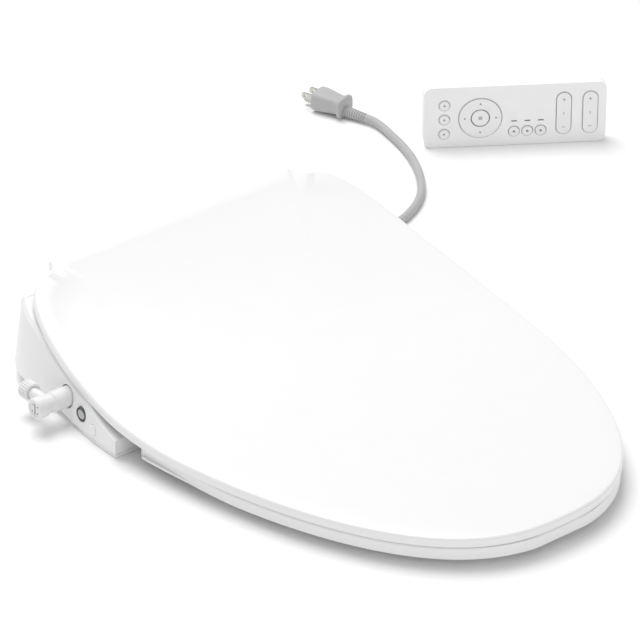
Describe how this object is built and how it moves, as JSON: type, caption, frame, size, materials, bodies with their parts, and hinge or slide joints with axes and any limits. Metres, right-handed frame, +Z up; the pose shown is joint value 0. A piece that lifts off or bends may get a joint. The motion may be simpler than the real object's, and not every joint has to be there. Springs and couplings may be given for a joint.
{
  "type": "electric bidet toilet seat",
  "caption": "Electric bidet toilet seat: soft-close lid over a heated ring on a wedge base with wash wands, water inlet, side buttons, mains cord with plug, and a remote control.",
  "frame": {"origin": "point on the flat underside of the base, on the seat's left-right centre line, 55 mm in front of the base's rear edge; z = 0 is the plane of the toilet rim and of the floor the set lies on", "axes": "+Z up, -Y toward the front of the seat (the user's knees), +X toward the right flank where the cord and remote lie; the water inlet is on the -X flank"},
  "size_m": [0.7149, 0.7173, 0.0862],
  "materials": {
    "lid_plastic": "gloss",
    "seat_plastic": "gloss",
    "base_plastic": "satin",
    "valve_plastic": "satin",
    "remote_plastic": "satin",
    "key_plastic": "satin",
    "button_white": "satin",
    "button_grey": "satin",
    "bezel_dark": "satin",
    "inner_plastic": "matt",
    "impeller_plastic": "matt",
    "pad_rubber": "matt",
    "hose_rubber": "matt",
    "cord_rubber": "satin",
    "steel": "brushed",
    "brass": "satin",
    "board": "satin",
    "heater_foil": "satin"
  },
  "bodies": {
    "base": {"base_top_cover": "base_plastic", "base_side_panel_left": "base_plastic", "base_side_panel_right": "base_plastic", "base_rear_cover": "base_plastic", "base_tray": "base_plastic", "hinge_rod": "steel", "inlet_filter_screen": "steel", "water_heater_tank": "steel", "button_bezel": "bezel_dark", "water_inlet_body": "valve_plastic", "inlet_solenoid_valve": "brass", "plug_blade_left": "brass", "plug_blade_right": "brass", "plug_earth_pin": "brass", "control_board": "board", "remote_housing": "remote_plastic", "nozzle_guide": "inner_plastic", "dryer_fan_housing": "inner_plastic", "soft_close_damper_left": "inner_plastic", "soft_close_damper_right": "inner_plastic", "hinge_bracket_left": "base_plastic", "hinge_bracket_right": "base_plastic", "inlet_hose": "hose_rubber", "cord_strain_relief": "cord_rubber", "power_cord_inner": "cord_rubber", "power_cord_coil": "cord_rubber", "power_cord_free": "cord_rubber", "plug_strain_relief": "cord_rubber", "plug_body": "cord_rubber"},
    "lid": {"lid": "lid_plastic", "lid_bumper_left": "pad_rubber", "lid_bumper_right": "pad_rubber"},
    "seat": {"seat_top_shell": "seat_plastic", "seat_bottom_plate": "seat_plastic", "seat_heater": "heater_foil", "seat_hinge_arm_left": "seat_plastic", "seat_hinge_arm_right": "seat_plastic", "seat_bumper_front_left": "pad_rubber", "seat_bumper_front_right": "pad_rubber", "seat_bumper_middle_left": "pad_rubber", "seat_bumper_middle_right": "pad_rubber"},
    "rear_wand": {"rear_wash_wand": "steel", "rear_wash_nozzle_tip": "base_plastic"},
    "front_wand": {"front_wash_wand": "steel", "front_wash_nozzle_tip": "base_plastic"},
    "power_button": {"power_button": "button_grey"},
    "wash_button": {"wash_button": "button_white"},
    "hose_nut": {"inlet_hose_nut": "valve_plastic"},
    "filter_cap": {"inlet_filter_cap": "valve_plastic"},
    "impeller": {"dryer_impeller": "impeller_plastic"},
    "remote_dial_ring": {"remote_dial_ring": "key_plastic"},
    "remote_mode_button_top": {"remote_mode_button_top": "key_plastic"},
    "remote_mode_button_middle": {"remote_mode_button_middle": "key_plastic"},
    "remote_mode_button_bottom": {"remote_mode_button_bottom": "key_plastic"},
    "remote_centre_button": {"remote_centre_button": "key_plastic"},
    "remote_level_button_left": {"remote_level_button_left": "key_plastic"},
    "remote_level_button_middle": {"remote_level_button_middle": "key_plastic"},
    "remote_level_button_right": {"remote_level_button_right": "key_plastic"},
    "remote_rocker_left": {"remote_rocker_left": "key_plastic"},
    "remote_rocker_right": {"remote_rocker_right": "key_plastic"}
  },
  "joints": [
    {"name": "seat_hinge", "type": "hinge", "parent": "base", "child": "seat", "pos_m": [0, 0.046, 0.075], "axis": [1, 0, 0], "range_deg": [-98, 0]},
    {"name": "lid_hinge", "type": "hinge", "parent": "seat", "child": "lid", "pos_m": [0, 0.046, 0.075], "axis": [-1, 0, 0], "range_deg": [0, 108]},
    {"name": "rear_wand_slide", "type": "slide", "parent": "base", "child": "rear_wand", "axis": [0, -0.9272, -0.3746], "range_m": [0, 0.09]},
    {"name": "front_wand_slide", "type": "slide", "parent": "base", "child": "front_wand", "axis": [0, -0.9272, -0.3746], "range_m": [0, 0.09]},
    {"name": "power_button_press", "type": "slide", "parent": "base", "child": "power_button", "axis": [1, 0, 0], "range_m": [0, 0.0015], "stiffness_N_per_m": 300},
    {"name": "wash_button_press", "type": "slide", "parent": "base", "child": "wash_button", "axis": [1, 0, 0], "range_m": [0, 0.0015], "stiffness_N_per_m": 300},
    {"name": "hose_nut_turn", "type": "hinge", "parent": "base", "child": "hose_nut", "pos_m": [-0.207, -0.0215, 0.0215], "axis": [0, 1, 0], "continuous": true},
    {"name": "filter_cap_turn", "type": "hinge", "parent": "base", "child": "filter_cap", "pos_m": [-0.217, -0.049, 0.0215], "axis": [-1, 0, 0], "range_deg": [0, 90]},
    {"name": "impeller_spin", "type": "hinge", "parent": "base", "child": "impeller", "pos_m": [0.074, 0.003, 0.02], "axis": [0, 0, 1], "continuous": true},
    {"name": "remote_dial_ring_press", "type": "slide", "parent": "base", "child": "remote_dial_ring", "axis": [0.5592, 0.829, 0], "range_m": [0, 0.0006], "stiffness_N_per_m": 300},
    {"name": "remote_mode_button_top_press", "type": "slide", "parent": "base", "child": "remote_mode_button_top", "axis": [0.5592, 0.829, 0], "range_m": [0, 0.0008], "stiffness_N_per_m": 300},
    {"name": "remote_mode_button_middle_press", "type": "slide", "parent": "base", "child": "remote_mode_button_middle", "axis": [0.5592, 0.829, 0], "range_m": [0, 0.0008], "stiffness_N_per_m": 300},
    {"name": "remote_mode_button_bottom_press", "type": "slide", "parent": "base", "child": "remote_mode_button_bottom", "axis": [0.5592, 0.829, 0], "range_m": [0, 0.0008], "stiffness_N_per_m": 300},
    {"name": "remote_centre_button_press", "type": "slide", "parent": "base", "child": "remote_centre_button", "axis": [0.5592, 0.829, 0], "range_m": [0, 0.0008], "stiffness_N_per_m": 300},
    {"name": "remote_level_button_left_press", "type": "slide", "parent": "base", "child": "remote_level_button_left", "axis": [0.5592, 0.829, 0], "range_m": [0, 0.0008], "stiffness_N_per_m": 300},
    {"name": "remote_level_button_middle_press", "type": "slide", "parent": "base", "child": "remote_level_button_middle", "axis": [0.5592, 0.829, 0], "range_m": [0, 0.0008], "stiffness_N_per_m": 300},
    {"name": "remote_level_button_right_press", "type": "slide", "parent": "base", "child": "remote_level_button_right", "axis": [0.5592, 0.829, 0], "range_m": [0, 0.0008], "stiffness_N_per_m": 300},
    {"name": "remote_rocker_left_tilt", "type": "hinge", "parent": "base", "child": "remote_rocker_left", "pos_m": [0.45402, 0.05536, 0.0305], "axis": [0.829, -0.5592, 0], "range_deg": [-3, 3], "stiffness_Nm_per_rad": 0.3},
    {"name": "remote_rocker_right_tilt", "type": "hinge", "parent": "base", "child": "remote_rocker_right", "pos_m": [0.47417, 0.04177, 0.0305], "axis": [0.829, -0.5592, 0], "range_deg": [-3, 3], "stiffness_Nm_per_rad": 0.3}
  ]
}
